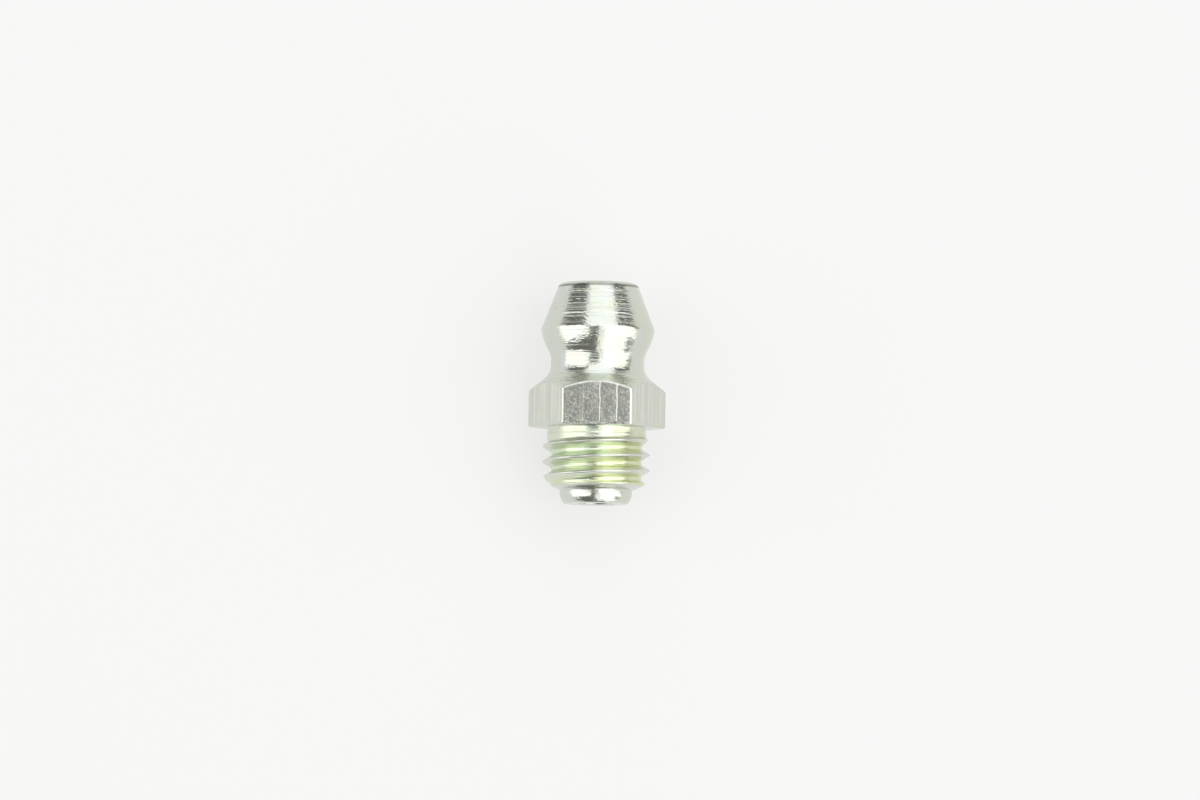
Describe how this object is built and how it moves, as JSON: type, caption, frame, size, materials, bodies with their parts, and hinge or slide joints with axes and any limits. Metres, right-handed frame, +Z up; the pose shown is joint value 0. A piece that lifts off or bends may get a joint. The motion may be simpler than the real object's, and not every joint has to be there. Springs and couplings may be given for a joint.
{
  "type": "grease nipple",
  "caption": "Straight grease nipple: a coupler head on a hollow waist, a spanner hexagon and a threaded shank, with a sprung check ball in its passage.",
  "frame": {"origin": "on the axis in the seat face, which is the underside of the spanner hexagon", "axes": "+Y along the axis of the turned form, from the thread towards the coupler head; +Z up, square to the two level flats of the hexagon; +X across its corners"},
  "size_m": [0.008, 0.0128, 0.0068],
  "materials": {
    "zinc_plated_steel": "turned free-cutting steel, zinc plated and pale yellow passivated",
    "bearing_steel": "ground and polished hardened steel",
    "spring_steel": "drawn spring wire"
  },
  "bodies": {
    "nipple": {"nipple_body": "zinc_plated_steel", "check_spring": "spring_steel"},
    "ball": {"check_ball": "bearing_steel"}
  },
  "joints": [
    {"name": "ball_lift", "type": "slide", "parent": "nipple", "child": "ball", "axis": [0, -1, 0], "range_m": [0, 0.0012], "stiffness_N_per_m": 1160, "springref_m": -0.0007, "deforming": ["check_spring"]}
  ]
}
